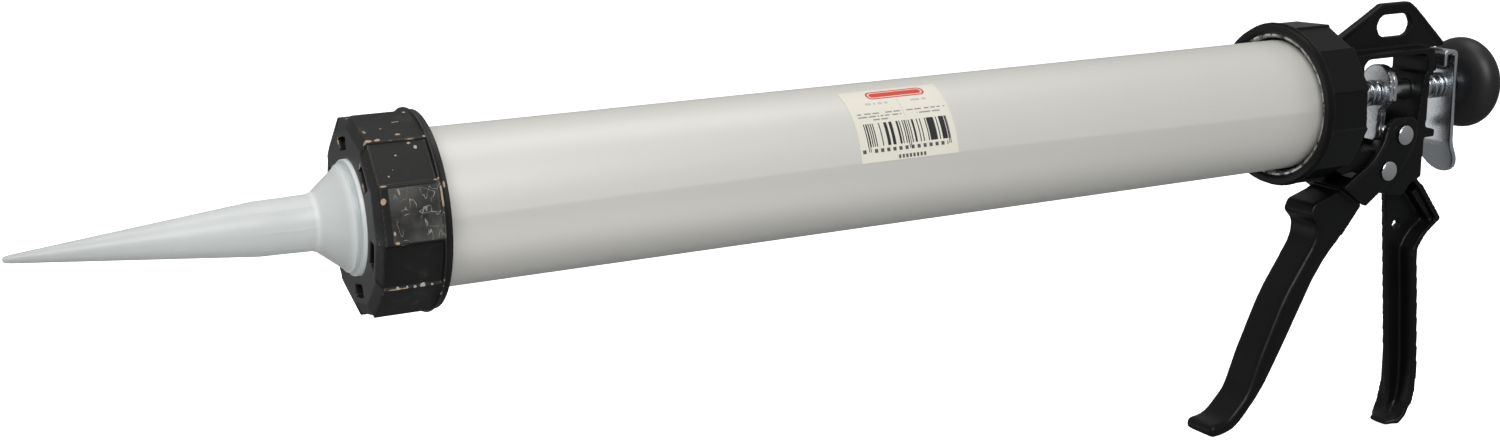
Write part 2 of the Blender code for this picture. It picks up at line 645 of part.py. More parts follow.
def make_spring(name, start, end, turns, parent):
    """Round wire coil about the rod, as a curve with a bevel and filled ends."""
    curve = bpy.data.curves.new(name, "CURVE")
    curve.dimensions = "3D"
    curve.bevel_depth = SPRING_WIRE_R * MM
    curve.bevel_resolution = 1
    curve.use_fill_caps = True
    spline = curve.splines.new("POLY")
    per_turn = 14
    count = turns * per_turn
    spline.points.add(count)
    first, last = start + SPRING_WIRE_R, end - SPRING_WIRE_R
    for k, point in enumerate(spline.points):
        angle = 2 * pi * k / per_turn
        x = first + (last - first) * k / count
        point.co = (x * MM, SPRING_R * cos(angle) * MM, SPRING_R * sin(angle) * MM, 1.0)
    obj = bpy.data.objects.new(name, curve)
    bpy.context.scene.collection.objects.link(obj)
    curve.materials.append(zinc())
    obj.parent = parent


# ---- rod, piston, knob, retainer -----------------------------------------------------------

def make_rod(parent):
    shoulder = PISTON_X + PISTON_DISC + SEAL_THICK + WASHER_THICK + 3 * GAP
    profile = [(NUT_X - 1.5, 0.0), (NUT_X - 1.5, ROD_END_R - 0.5), (NUT_X - 1, ROD_END_R),
               (shoulder, ROD_END_R), (shoulder, ROD_R), (KNOB_X + KNOB_THICK - 6, ROD_R),
               (KNOB_X + KNOB_THICK - 6, 0.0)]
    place("push_rod", turned(profile, SMALL_STEPS), zinc(), parent)


def ring(start, thick, outer, inner, steps=ROUND_STEPS):
    end = start + thick
    return turned([(start, inner), (start, outer), (end, outer), (end, inner)], steps)


def make_piston(parent):
    hole = ROD_END_R + GAP
    steel = zinc()
    front = PISTON_X - WASHER_THICK - GAP
    place("piston_washer_front", ring(front, WASHER_THICK, FRONT_WASHER_R, hole, 32), steel, parent)
    disc = turned([(PISTON_X, hole), (PISTON_X, PISTON_R - 1.6), (PISTON_X + 1.2, PISTON_R - 0.4),
                   (PISTON_X + PISTON_DISC, PISTON_R - 0.4), (PISTON_X + PISTON_DISC, hole)])
    place("piston_disc", disc, material("piston_plastic", (0.85, 0.85, 0.8), 0.4), parent)
    seal_x = PISTON_X + PISTON_DISC + GAP
    seal = turned([(seal_x, hole), (seal_x, PISTON_R), (seal_x + 0.8, PISTON_R),
                   (seal_x + SEAL_THICK, PISTON_R - 0.8), (seal_x + SEAL_THICK, hole)])
    place("piston_seal", seal, material("seal_rubber", (0.03, 0.03, 0.03), 0.6), parent)
    rear = seal_x + SEAL_THICK + GAP
    place("piston_washer_rear", ring(rear, WASHER_THICK, REAR_WASHER_R, hole, 32), steel, parent)
    corner = NUT_FLATS / 2 / cos(pi / 6)
    hexagon = [(corner * cos(k * pi / 3), corner * sin(k * pi / 3)) for k in range(6)]
    bore = bar_x(NUT_X - 1, NUT_X + NUT_THICK + 1, hole)
    nut = slab(hexagon, NUT_X, NUT_X + NUT_THICK, "X")
    shaped("piston_nut", nut, [("DIFFERENCE", bore)], steel, parent)


def make_knob(parent):
    """Turned mushroom with a blind hole for the rod."""
    x, r, thick = KNOB_X, KNOB_R, KNOB_THICK
    dome = [(x + thick * 0.42 + thick * 0.58 * sin(a), r * cos(a)) for a in
            (radians(k) for k in range(0, 90, 11))]
    profile = [(x + thick - 5.5, 0.0), (x + thick - 5.5, ROD_R + GAP), (x, ROD_R + GAP),
               (x, r * 0.66), (x + thick * 0.1, r * 0.88), (x + thick * 0.25, r * 0.98)]
    profile += dome[:-1] + [(x + thick, r * 0.16), (x + thick, 0.0)]
    finish = material("knob_plastic", (0.015, 0.015, 0.016), 0.45)
    place("rod_knob", turned(profile, 32), finish, parent)


def screw_places():
    angles = [pi / 2 + 2 * pi * k / SCREW_COUNT for k in range(SCREW_COUNT)]
    return [(SCREW_CIRCLE_R * cos(a), SCREW_CIRCLE_R * sin(a)) for a in angles]


def make_retainer(parent):
    start = COLLAR_BACK - CUP_HEAD - GAP - RETAINER_THICK
    disc = ring(start, RETAINER_THICK, RETAINER_R, ROD_R + 1)
    holes = []
    for number, (y, z) in enumerate(screw_places(), 1):
        bore = bar_x(start - 1, start + RETAINER_THICK + 1, SCREW_R + GAP, y, z, 12)
        holes.append(("DIFFERENCE", bore))
        head = start - GAP
        screw = turned([(head - SCREW_HEAD, 0.0), (head - SCREW_HEAD, SCREW_HEAD_R - 0.6),
                        (head - SCREW_HEAD + 0.6, SCREW_HEAD_R), (head, SCREW_HEAD_R),
                        (head, SCREW_R), (BOX_X - 1.2, SCREW_R), (BOX_X - 1.2, 0.0)], 12)
        bmesh.ops.translate(screw, verts=screw.verts, vec=(0, y, z))
        place(f"retainer_screw_{number}", screw, zinc(), parent)
    shaped("collar_retainer", disc, holes, zinc(), parent)


def main():
    clear_scene()
    tool = bpy.data.objects.new("tool_origin", None)
    bpy.context.scene.collection.objects.link(tool)
    tool.location = -Vector(CENTRE) * MM

    make_barrel(tool)
    make_cup("rear_collar", COLLAR_TURN, 1, COLLAR_X, tool)
    make_retainer(tool)
    make_label(tool)
    make_frame(tool)
    make_rivet("trigger_pivot_rivet", PIVOT, tool)

    trigger = joint_empty("trigger_axis", tool, *PIVOT)
    make_trigger(trigger)
    make_rivet("pusher_rivet", PIN, trigger)

    make_drive_plates(tool)
    make_spring("drive_spring", WINDOW_X + GAP, drive_front_face() - GAP, DRIVE_TURNS, tool)
    release = joint_empty("release_axis", tool, *HINGE)
    make_release_plate(release)
    make_spring("release_spring", FRAME_BACK - 1.2, RELEASE_X - GAP, RELEASE_TURNS, tool)

    rod = joint_empty("rod_axis", tool, 0.0, 0.0)
    make_rod(rod)
    make_piston(rod)
    make_knob(rod)

    nozzle = joint_empty("nozzle_axis", tool, 0.0, 0.0)
    make_nozzle(nozzle)
    make_cup("front_cap", CAP_TURN, -1, 0.0, nozzle)


def drive_front_face():
    """Nearest point of the tilted stack to the front wall, where the spring presses."""
    stack = 2 * DRIVE_THICK + GAP
    return drive_plate_x() - stack / cos(DRIVE_TILT) - (SPRING_R + SPRING_WIRE_R) * tan(DRIVE_TILT)


main()
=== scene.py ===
"""Looks of a caulking gun: worn cast cups, anodised barrel, milky nozzle, black cast handle.

Pieces that are turned or bent are drawn in millimetres in the tool's own frame: the barrel lies
along X with its axis at Y = Z = 0, the nozzle at -X, and X = 0 is the rim of the front cap.
"""

import json
from math import asin, atan2, cos, pi, radians, sin, tau

import bmesh
import bpy
from mathutils import Matrix, Vector


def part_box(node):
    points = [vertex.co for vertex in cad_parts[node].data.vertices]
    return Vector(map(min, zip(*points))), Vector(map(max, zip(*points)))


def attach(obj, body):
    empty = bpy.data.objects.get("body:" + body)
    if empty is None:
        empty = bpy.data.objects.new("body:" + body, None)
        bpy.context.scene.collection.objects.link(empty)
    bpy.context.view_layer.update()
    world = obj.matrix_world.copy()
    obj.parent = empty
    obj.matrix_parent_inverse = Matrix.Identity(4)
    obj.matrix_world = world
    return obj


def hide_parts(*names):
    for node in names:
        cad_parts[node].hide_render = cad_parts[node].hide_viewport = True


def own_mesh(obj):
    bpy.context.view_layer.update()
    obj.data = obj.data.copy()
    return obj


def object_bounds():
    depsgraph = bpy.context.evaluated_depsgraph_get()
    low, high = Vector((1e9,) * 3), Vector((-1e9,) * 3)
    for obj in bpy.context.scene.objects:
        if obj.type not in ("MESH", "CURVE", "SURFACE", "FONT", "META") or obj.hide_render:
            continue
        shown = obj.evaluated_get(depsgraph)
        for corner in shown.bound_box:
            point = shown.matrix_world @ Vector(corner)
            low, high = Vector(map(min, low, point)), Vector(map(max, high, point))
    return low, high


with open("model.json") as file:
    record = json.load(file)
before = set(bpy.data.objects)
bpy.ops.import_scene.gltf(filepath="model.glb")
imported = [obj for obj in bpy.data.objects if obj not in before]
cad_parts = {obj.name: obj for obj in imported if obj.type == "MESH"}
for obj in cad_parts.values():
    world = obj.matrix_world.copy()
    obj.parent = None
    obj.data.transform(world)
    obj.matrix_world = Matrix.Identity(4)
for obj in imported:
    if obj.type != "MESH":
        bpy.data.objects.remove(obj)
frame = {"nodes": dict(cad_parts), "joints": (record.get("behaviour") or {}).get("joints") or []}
CAD_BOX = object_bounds()

MM = 0.001
AXIS_HEIGHT = (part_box("barrel_tube")[0].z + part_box("barrel_tube")[1].z) / 2
ORIGIN = Vector((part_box("front_cap")[1].x, 0.0, AXIS_HEIGHT))

TUBE_WALL = 1.5
RIM_R = 33.5  # radius that the cups' rims are turned down to
RIM_WIDTH = 2.1
KNOB_GAP = 21.1  # from the frame's rear wall to the knob, with the rod pushed in

# Places along the nozzle, from its tip.
NECK_START = 75.6
NECK_END = 94.2
BAND_START = 104.4
BAND_END = 106.0

SHEET_SHAPE = 0.76  # height of the sticker over its width
CAP_ARC = pi / 180 * 34  # length of one degree round the front cap
# Marks on the front cap: place along it, angle round it in degrees, length, width.
CHIPS = [(-21.3, 19, 1.1, 1.2), (-20.6, 27, 1.6, 0.6), (-18.8, -4, 1.9, 0.9), (-18.9, 1, 0.5, 1.1),
         (-21.5, 56, 1.8, 1.0), (-18.6, 56, 1.6, 0.8), (-11.0, 60, 1.4, 0.8), (-9.8, 74, 2.4, 0.5),
         (-21.0, 66, 0.9, 1.4), (-1.2, 24, 0.5, 2.4), (-8.8, 53, 1.0, 0.7), (-3.4, 28, 1.1, 0.5)]
PALE_MARKS = [(-17.6, -33, 0.8, 0.5), (-14.6, -33, 0.5, 0.5), (-12.2, -33, 0.7, 0.6),
              (-9.4, -33, 1.1, 0.6), (-6.4, -33, 0.5, 0.4), (-3.6, 55, 0.7, 0.8),
              (-14.0, 46, 0.6, 0.5), (-16.2, 37, 0.4, 0.4), (-7.0, 50, 0.7, 0.9),
              (-18.0, 33, 0.4, 0.4), (-5.0, 84, 0.6, 0.5), (-15.5, 68, 0.5, 0.4)]


def span(node):
    """Lowest and highest corner of a node in the tool's own frame, in millimetres."""
    low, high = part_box(node)
    return (low - ORIGIN) / MM, (high - ORIGIN) / MM


# ---- finishes ------------------------------------------------------------------------------

class Wire:
    """An output socket that takes part in arithmetic."""

    def __init__(self, finish, socket):
        self.finish = finish
        self.socket = socket

    def math(self, operation, *values, clamp=False):
        settings = {"operation": operation, "use_clamp": clamp}
        return self.finish.node("ShaderNodeMath", settings, dict(enumerate(values)))

    def __add__(self, other):
        return self.math("ADD", self, other)

    def __radd__(self, other):
        return self.math("ADD", other, self)

    def __sub__(self, other):
        return self.math("SUBTRACT", self, other)

    def __rsub__(self, other):
        return self.math("SUBTRACT", other, self)

    def __mul__(self, other):
        return self.math("MULTIPLY", self, other)

    def __rmul__(self, other):
        return self.math("MULTIPLY", other, self)

    def __truediv__(self, other):
        return self.math("DIVIDE", self, other)

    def floor(self):
        return self.math("FLOOR", self)

    def size(self):
        return self.math("ABSOLUTE", self)

    def over(self, limit, soft=0.0):
        """0 below the limit and 1 above it, with a ramp of the given width."""
        if soft <= 0:
            return self.math("GREATER_THAN", self, limit)
        return self.math("MULTIPLY", self - limit, 1 / soft, clamp=True)

    def within(self, low, high):
        return self.over(low) * (1 - self.over(high))

    def most(self, other):
        return self.math("MAXIMUM", self, other)


def most_of(wires):
    """The largest of several wires."""
    first, *rest = wires
    for other in rest:
        first = first.most(other)
    return first


class Finish:
    """A Principled material whose varying inputs are wired in Python."""

    def __init__(self, name, colour, roughness, metallic=0.0, **fixed):
        self.material = bpy.data.materials.new(name)
        self.material.use_nodes = True
        self.tree = self.material.node_tree
        self.shader = self.tree.nodes["Principled BSDF"]
        self.material.diffuse_color = (*colour, 1.0)
        self.set("Base Color", (*colour, 1.0))
        self.set("Roughness", roughness)
        self.set("Metallic", metallic)
        for socket, value in fixed.items():
            self.set(socket.replace("_", " "), value)

    def set(self, socket, value):
        self.feed(self.shader.inputs[socket], value)

    def feed(self, socket, value):
        if isinstance(value, Wire):
            self.tree.links.new(value.socket, socket)
        else:
            socket.default_value = value

    def node(self, kind, settings=None, inputs=None, output=0):
        """A node of any kind: settings first, then the values or links of its sockets."""
        made = self.tree.nodes.new(kind)
        settings = dict(settings or {})
        stops = settings.pop("stops", None)
        for key, value in settings.items():
            setattr(made, key, value)
        if stops:
            elements = made.color_ramp.elements
            while len(elements) < len(stops):
                elements.new(0.5)
            for element, (position, colour) in zip(elements, stops):
                element.position, element.color = position, (*colour, 1.0)
        for key, value in (inputs or {}).items():
            self.feed(made.inputs[key], value)
        return Wire(self, made.outputs[output])

    def place(self):
        return self.node("ShaderNodeTexCoord", output="Object")

    def along(self, stretch=(1, 1, 1), turn=(0, 0, 0)):
        """Object coordinates, stretched and turned about the origin."""
        inputs = {"Vector": self.place(), "Scale": stretch, "Rotation": turn}
        return self.node("ShaderNodeMapping", None, inputs)

    def noise(self, scale, detail=3.0, stretch=(1, 1, 1), turn=(0, 0, 0), rough=0.5):
        inputs = {"Vector": self.along(stretch, turn), "Scale": scale, "Detail": detail,
                  "Roughness": rough}
        return self.node("ShaderNodeTexNoise", None, inputs, "Fac")

    def ridges(self, scale, stretch, turn):
        """Thin wandering lines, bright on the line."""
        wander = self.noise(scale, 2.0, stretch, turn)
        return 1 - (wander - 0.5).size() * 2

    def parts(self, vector):
        made = self.tree.nodes.new("ShaderNodeSeparateXYZ")
        self.feed(made.inputs[0], vector)
        return [Wire(self, output) for output in made.outputs]

    def mix(self, factor, first, second):
        inputs = {0: factor, 6: self.opaque(first), 7: self.opaque(second)}
        settings = {"data_type": "RGBA", "clamp_factor": True}
        return self.node("ShaderNodeMix", settings, inputs, 2)

    @staticmethod
    def opaque(colour):
        return colour if isinstance(colour, Wire) else (*colour, 1.0)

    def attribute(self, name):
        return self.node("ShaderNodeAttribute", {"attribute_name": name}, None, "Fac")

    def bump(self, height, strength, distance):
        inputs = {"Height": height, "Strength": strength, "Distance": distance}
        self.set("Normal", self.node("ShaderNodeBump", None, inputs))


def black_coat():
    """Satin powder coat over cast metal, a little greyer on the edges that hands rub."""
    coat = Finish("black_coat", (0.004, 0.004, 0.004), 0.36, Specular_IOR_Level=0.25)
    cloud = coat.noise(60, 3)
    grain = coat.noise(2200, 2)
    rubbed = (coat.attribute("edge") * 0.8 * cloud).over(0.22, 0.5)
    tone = coat.mix(cloud, (0.0028, 0.003, 0.0028), (0.0055, 0.0058, 0.0055))
    coat.set("Base Color", coat.mix(rubbed, tone, (0.018, 0.018, 0.019)))
    coat.set("Roughness", 0.26 + 0.10 * cloud + 0.08 * grain)
    coat.bump(grain * 0.6 + cloud * 0.4, 0.12, 0.0004)
    return coat.material


def worn_coat():
    """The same coat on the front cap, chipped to a tan primer and scuffed by use."""
    coat = Finish("worn_coat", (0.006, 0.006, 0.006), 0.4, Specular_IOR_Level=0.4)
    x, y, z = [axis * 1000 for axis in coat.parts(coat.place())]
    along = x - ORIGIN.x / MM
    height = z - ORIGIN.z / MM
    turn = height.math("ARCTAN2", height, 0 - y) * (180 / pi)
    ragged = coat.noise(420, 3)
    fine = coat.noise(900, 3)

    def spot(where, angle, length, width):
        """A ragged mark: its place along the cap and round it, and its size, in mm."""
        a = (along - where) / length
        b = (turn - angle) * (CAP_ARC / width)
        return (1.9 - (a * a + b * b) - ragged * 2.9).over(0, 0.1)

    edge = coat.attribute("edge")
    cloud = coat.noise(45, 4)
    grain = coat.noise(1800, 3)
    worn = (edge * coat.noise(230, 4)).over(0.44, 0.05) * coat.noise(90, 2).over(0.57, 0.03)
    chips = most_of([spot(*mark) for mark in CHIPS]).most(worn)
    specks = fine.over(0.74, 0.02) * coat.noise(60, 2).over(0.55, 0.05)
    pale = most_of([spot(*mark) for mark in PALE_MARKS]).most(specks)
    rubbed = (edge * cloud).over(0.16, 0.5)
    patch = along.within(-19.5, -2.5) * turn.within(-4.5, 25.5)
    hazy = patch * coat.noise(85, 4, rough=0.6).over(0.30, 0.35)
    soft_haze = coat.noise(38, 3).over(0.56, 0.15) * 0.35
    scuffed = hazy.most(soft_haze)
    lines = coat.ridges(210, (0.35, 1, 1), (0.3, 0.5, 0.2)).over(0.982, 0.014)
    cross = coat.ridges(240, (1, 1, 0.4), (1.1, 0.2, 0.7)).over(0.98, 0.014)
    broken = coat.noise(140, 2).over(0.42, 0.06)
    scratch = lines.most(cross) * (patch * 0.8).most(soft_haze) * broken
    tone = coat.mix(cloud, (0.0045, 0.0045, 0.0042), (0.013, 0.0125, 0.0115))
    tone = coat.mix(rubbed * 0.5, tone, (0.045, 0.042, 0.038))
    tone = coat.mix(scuffed * 0.85, tone, (0.085, 0.083, 0.075))
    tone = coat.mix(scratch, tone, (0.33, 0.33, 0.32))
    tone = coat.mix(pale * 0.8, tone, (0.50, 0.48, 0.44))
    primer = coat.mix(fine, (0.27, 0.18, 0.12), (0.55, 0.42, 0.31))
    coat.set("Base Color", coat.mix(chips, tone, primer))
    coat.set("Roughness", 0.34 + 0.16 * cloud + 0.2 * scuffed)
    coat.bump(grain * 0.5 + cloud * 0.5 - chips * 0.8 - scratch * 0.4, 0.25, 0.0004)
    return coat.material


def anodised():
    """Drawn and anodised aluminium: very fine lines along the tube under a matt skin."""
    metal = Finish("anodised", (0.66, 0.655, 0.625), 0.42, 0.15, Specular_IOR_Level=0.35)
    drawn = metal.noise(900, 3, (0.02, 1, 1))
    cloud = metal.noise(14, 3)
    specks = metal.noise(900, 1).over(0.80, 0.02)
    tone = metal.mix(cloud, (0.655, 0.645, 0.60), (0.685, 0.675, 0.63))
    tone = metal.mix(drawn * 0.2, tone, (0.60, 0.60, 0.57))
    metal.set("Base Color", metal.mix(specks * 0.4, tone, (0.35, 0.35, 0.34)))
    metal.set("Roughness", 0.38 + 0.07 * drawn + 0.05 * cloud)
    metal.bump(drawn, 0.06, 0.0003)
    return metal.material


def bright_zinc(name="bright_zinc", drawn_along=(1, 1, 1)):
    """Zinc plating with a blue cast, cloudy where it has dulled."""
    zinc = Finish(name, (0.74, 0.77, 0.80), 0.22, 1.0)
    cloud = zinc.noise(90, 4)
    lines = zinc.noise(700, 3, drawn_along)
    edge = zinc.attribute("edge")
    tone = zinc.mix(cloud, (0.66, 0.69, 0.73), (0.83, 0.85, 0.87))
    zinc.set("Base Color", zinc.mix(edge * lines * 0.5, tone, (0.42, 0.43, 0.44)))
    zinc.set("Roughness", 0.15 + 0.16 * cloud + 0.1 * lines)
    zinc.bump(lines * 0.5 + cloud, 0.22, 0.0003)
    return zinc.material


def worn_thread():
    """Threads with the coat rubbed through to bright metal in places."""
    metal = Finish("worn_thread", (0.6, 0.6, 0.6), 0.3, 0.9)
    patches = metal.noise(420, 3, (1, 0.7, 0.7)).over(0.36, 0.16)
    dull = metal.noise(40, 2)
    bare = metal.mix(dull, (0.35, 0.35, 0.34), (0.75, 0.75, 0.74))
    metal.set("Base Color", metal.mix(patches, (0.06, 0.06, 0.06), bare))
    metal.set("Roughness", 0.5 - 0.25 * patches)
    metal.bump(patches, 0.3, 0.0003)
    return metal.material


def polished_steel():
    steel = Finish("polished_steel", (0.80, 0.80, 0.82), 0.12, 1.0)
    cloud = steel.noise(300, 3)
    steel.set("Roughness", 0.07 + 0.12 * cloud)
    steel.bump(cloud, 0.08, 0.0002)
    return steel.material


def milky_plastic():
    """Polythene that lets light in, greyer at the tip and at the base, with thin painted highlights
    on the bead at its neck and on the edges of the step at its base.

    A weak even glow stands in for the light that scatters inside it.
    """
    milk = Finish("milky_plastic", (0.60, 0.62, 0.62), 0.3, Subsurface_Weight=0.5,
                  Subsurface_Radius=(0.9, 1.0, 1.0), Subsurface_Scale=0.006,
                  Specular_IOR_Level=0.4, Emission_Color=(0.94, 1.0, 0.96, 1),
                  Emission_Strength=0.17)
    depth = milk.parts(milk.place())[0]
    low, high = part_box("nozzle")
    length = high.x - low.x
    share = (depth - low.x) / length
    neck, band, edge = [place * MM / length for place in (NECK_END, BAND_START, BAND_END)]
    # The narrow pale stops at the neck's bead and at both edges of the step by the base are painted
    # highlights; the dark stops between them make a darker band on the ledge.
    stops = [(0.0, (0.38, 0.39, 0.38)), (0.12, (0.49, 0.50, 0.49)), (0.45, (0.60, 0.61, 0.60)),
             (neck - 0.01, (0.60, 0.61, 0.60)), (neck, (0.78, 0.79, 0.78)),
             (neck + 0.012, (0.57, 0.58, 0.57)), (band - 0.02, (0.50, 0.52, 0.525)),
             (band - 0.002, (0.70, 0.72, 0.72)), (band + 0.002, (0.36, 0.40, 0.42)),
             (edge - 0.001, (0.40, 0.44, 0.46)), (edge + 0.003, (0.80, 0.83, 0.84)),
             (1.0, (0.66, 0.69, 0.71))]
    tone = milk.node("ShaderNodeValToRGB", {"stops": stops}, {0: share})
    cloud = milk.noise(40, 3)
    tone = milk.mix(cloud * 0.15, tone, (0.70, 0.72, 0.72))
    milk.set("Base Color", milk.mix(0.25, tone, (0, 0, 0)))
    flow = milk.noise(260, 2, (0.06, 1, 1))
    milk.set("Roughness", 0.26 + 0.12 * flow)
    milk.bump(flow, 0.08, 0.0003)
    return milk.material


def printed_paper():
    """Cream sticker: a plain red pill, rows of dashes and a block of upright bars."""
    paper = Finish("printed_paper", (0.84, 0.82, 0.71), 0.5)
    u, v, _ = paper.parts(paper.node("ShaderNodeUVMap", {"uv_map": "sheet"}))

    def dice(value, count, seed):
        inputs = {"W": (value * count).floor() + seed}
        return paper.node("ShaderNodeTexWhiteNoise", {"noise_dimensions": "1D"}, inputs, "Value")

    def row(v_mid, half, left, right, count, seed=0, filled=0.75):
        """A row of dashes: uneven ones for a seed, else evenly spaced."""
        place = u * count
        if seed:
            marks = dice(u, count, seed).over(1 - filled)
        else:
            marks = (place - place.floor()).within(0.5 - filled / 2, 0.5 + filled / 2)
        return v.within(v_mid - half, v_mid + half) * u.within(left, right) * marks

    def pill(left, right, middle, half):
        """Rounded bar; its ends are half circles on the paper."""
        across = (u - (left + right) / 2).size() - ((right - left) / 2 - half * SHEET_SHAPE)
        across = across.most(0.0) / SHEET_SHAPE
        rise = v - middle
        return 1 - (across * across + rise * rise).over(half * half)

    bars = dice(u, 95, 3).over(0.50) * u.within(0.08, 0.93) * v.within(0.185, 0.466)
    guards = most_of([u.within(a, a + 0.0075) for a in (0.083, 0.10, 0.50, 0.517, 0.912, 0.928)])
    bars = bars.most(guards * v.within(0.125, 0.466))
    ticks = most_of([row(0.135, 0.022, 0.11, 0.90, 16, filled=0.52),
                     row(0.135, 0.022, 0.02, 0.055, 1, filled=2),
                     row(0.04, 0.022, 0.37, 0.66, 27, filled=0.62)])
    fine = most_of([row(0.598, 0.009, 0.06, 0.50, 60, 21), row(0.598, 0.009, 0.56, 0.97, 60, 8),
                    row(0.556, 0.009, 0.06, 0.50, 66, 2), row(0.546, 0.009, 0.66, 0.90, 60, 31),
                    row(0.512, 0.009, 0.17, 0.41, 60, 17)])
    rules = row(0.742, 0.017, 0.19, 0.42, 44, 7).most(row(0.742, 0.017, 0.60, 0.82, 44, 13))
    divider = u.within(0.526, 0.533) * v.within(0.50, 0.79)
    pale_line = pill(0.27, 0.83, 0.885, 0.052) * (1 - pill(0.282, 0.818, 0.885, 0.040))
    badge = pill(0.25, 0.85, 0.885, 0.072) * (1 - pale_line)
    tone = paper.mix(paper.noise(60, 3), (0.72, 0.69, 0.60), (0.78, 0.755, 0.67))
    tone = paper.mix(rules.most(divider * 0.7) * 0.7, tone, (0.42, 0.42, 0.40))
    tone = paper.mix(fine * 0.75, tone, (0.13, 0.13, 0.13))
    tone = paper.mix(bars.most(ticks * 0.9), tone, (0.02, 0.02, 0.02))
    paper.set("Base Color", paper.mix(badge, tone, (0.62, 0.055, 0.03)))
    paper.set("Roughness", 0.42 + 0.12 * paper.noise(500, 2))
    paper.bump(paper.noise(700, 2), 0.05, 0.0002)
    return paper.material


def soft_black_plastic():
    soft = Finish("soft_black_plastic", (0.012, 0.012, 0.013), 0.45)
    cloud = soft.noise(70, 3)
    soft.set("Base Color", soft.mix(cloud, (0.010, 0.010, 0.011), (0.017, 0.017, 0.018)))
    soft.set("Roughness", 0.36 + 0.16 * cloud)
    soft.bump(soft.noise(1500, 2), 0.12, 0.0003)
    return soft.material


def piston_plastic():
    pale = Finish("piston_plastic", (0.80, 0.80, 0.75), 0.4)
    cloud = pale.noise(80, 3)
    pale.set("Base Color", pale.mix(cloud, (0.74, 0.74, 0.68), (0.83, 0.83, 0.79)))
    pale.bump(cloud, 0.1, 0.0003)
    return pale.material


def seal_rubber():
    rubber = Finish("seal_rubber", (0.02, 0.02, 0.02), 0.65)
    dust = rubber.noise(200, 4)
    rubber.set("Base Color", rubber.mix(dust, (0.014, 0.014, 0.014), (0.035, 0.034, 0.033)))
    rubber.bump(dust, 0.15, 0.0003)
    return rubber.material


# ---- making pieces -------------------------------------------------------------------------

def to_tool(bm):
    """Millimetres of the tool's own frame become metres of the model's."""
    bmesh.ops.scale(bm, verts=bm.verts, vec=(MM, MM, MM))
    bmesh.ops.translate(bm, verts=bm.verts, vec=ORIGIN)
    return bm


def finished(name, mesh, finish, body, nodes, sharp=35):
    mesh.name = name
    mesh.materials.clear()
    mesh.materials.append(finish)
    mesh.shade_smooth()
    mesh.set_sharp_from_angle(angle=radians(sharp))
    obj = bpy.data.objects.new(name, mesh)
    bpy.context.scene.collection.objects.link(obj)
    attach(obj, body)
    if nodes:
        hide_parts(*nodes)
    return obj


def mesh_of(bm):
    mesh = bpy.data.meshes.new("made")
    bm.to_mesh(mesh)
    bm.free()
    return mesh


def turned(profile, steps=96):
    """Solid of revolution about X from (x, radius) points; an open profile ends on the axis."""
    bm = bmesh.new()
    verts = [bm.verts.new((x, 0.0, r)) for x, r in profile]
    pairs = list(zip(verts, verts[1:]))
    if min(r for _, r in profile) > 0:
        pairs.append((verts[-1], verts[0]))
    edges = [bm.edges.new(pair) for pair in pairs]
    bmesh.ops.spin(bm, geom=verts + edges, cent=(0, 0, 0), axis=(1, 0, 0), angle=tau,
                   steps=steps, use_merge=True)
    bmesh.ops.remove_doubles(bm, verts=bm.verts, dist=1e-4)
    bmesh.ops.recalc_face_normals(bm, faces=bm.faces)
    return bm


def corner(x, r, radius, quarter, steps=5):
    """Points of a rounded corner of a profile; quarter counts quarter turns from +x to +r."""
    first = quarter * pi / 2
    angles = [first + pi / 2 * k / steps for k in range(steps + 1)]
    return [(x + radius * cos(a), r + radius * sin(a)) for a in angles]


def along_y(bm, x, z):
    """Turns a piece that was drawn along X to lie along Y through (x, z)."""
    bmesh.ops.rotate(bm, verts=bm.verts, matrix=Matrix.Rotation(pi / 2, 3, "Z"))
    bmesh.ops.translate(bm, verts=bm.verts, vec=(x, 0, z))
    return bm


def applied(mesh, modifiers):
    """The mesh after modifiers given as (kind, settings)."""
    obj = bpy.data.objects.new("blank", mesh)
    bpy.context.scene.collection.objects.link(obj)
    for number, (kind, settings) in enumerate(modifiers):
        modifier = obj.modifiers.new(f"step_{number}", kind)
        for key, value in settings.items():
            setattr(modifier, key, value)
    graph = bpy.context.evaluated_depsgraph_get()
    made = bpy.data.meshes.new_from_object(obj.evaluated_get(graph), depsgraph=graph)
    bpy.data.objects.remove(obj, do_unlink=True)
    return made


def soften(bm, rounds, chosen=None):
    """Rounds corners by relaxing the skin; chosen limits it to a part of the piece."""
    verts = [v for v in bm.verts if chosen is None or chosen((v.co - ORIGIN) / MM)]
    for _ in range(rounds):
        bmesh.ops.smooth_vert(bm, verts=verts, factor=0.5, use_axis_x=True, use_axis_y=True,
                              use_axis_z=True)


def mark_edges(bm, grain):
    """Stores how proud each point stands of its neighbours, for wear on the corners."""
    layer = bm.verts.layers.float.new("edge")
    bm.normal_update()
    for vert in bm.verts:
        around = [edge.other_vert(vert).co for edge in vert.link_edges]
        middle = sum(around, Vector()) / len(around)
        proud = (vert.co - middle).dot(vert.normal) / grain
        vert[layer] = max(0.0, min(1.0, proud * 9))


def turn_down(bm, start, end, largest):
    """Limits the radius about the barrel's axis between two places along it."""
    for vert in bm.verts:
        point = (vert.co - ORIGIN) / MM
        radius = (point.y ** 2 + point.z ** 2) ** 0.5
        if start < point.x < end and radius > largest:
            point.y *= largest / radius
            point.z *= largest / radius
            vert.co = point * MM + ORIGIN


def box_between(low, high):
    bm = bmesh.new()
    bmesh.ops.create_cube(bm, size=1.0)
    size = [b - a for a, b in zip(low, high)]
    bmesh.ops.scale(bm, verts=bm.verts, vec=size)
    bmesh.ops.translate(bm, verts=bm.verts, vec=[(a + b) / 2 for a, b in zip(low, high)])
    return bm


